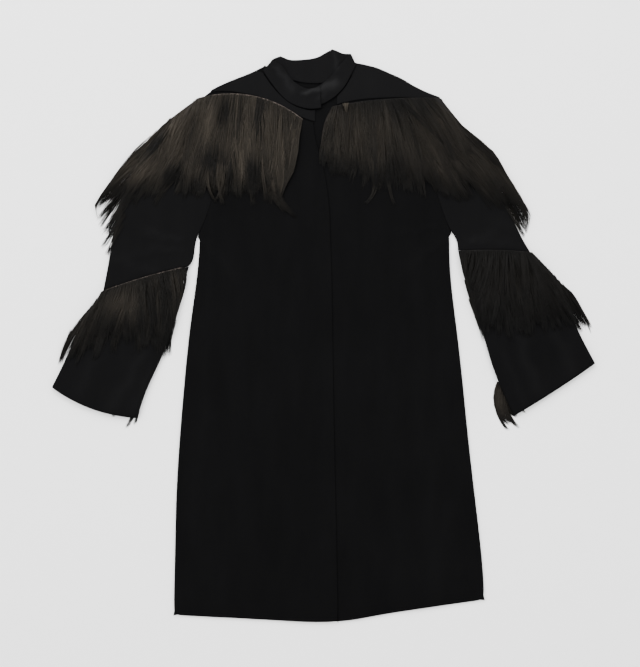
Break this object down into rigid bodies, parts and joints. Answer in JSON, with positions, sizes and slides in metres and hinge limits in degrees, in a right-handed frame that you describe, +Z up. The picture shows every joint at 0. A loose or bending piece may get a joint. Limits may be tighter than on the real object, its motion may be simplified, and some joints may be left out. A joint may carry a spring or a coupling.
{
  "type": "fur-trimmed wool coat",
  "caption": "Black wool coat laid flat, with a funnel collar, flared cuffs and long dark hair over the shoulders and forearms.",
  "frame": {"origin": "on the floor under the middle of the laid coat, midway between the two cuff corners and between hem and collar", "axes": "+Z up from the floor, +Y towards the collar, +X towards the wearer's left sleeve"},
  "size_m": [1, 1.057, 0.0209],
  "materials": {
    "cloth": "matte",
    "fur": "satin"
  },
  "bodies": {
    "root": {"back": "cloth", "front_right": "cloth", "front_left": "cloth", "yoke_right": "cloth", "yoke_left": "cloth", "collar": "cloth", "sleeve_right": "cloth", "sleeve_left": "cloth", "cuff_right": "cloth", "cuff_left": "cloth", "fur_yoke_right": "fur", "fur_yoke_left": "fur", "fur_band_right": "fur", "fur_band_left": "fur"}
  },
  "joints": []
}
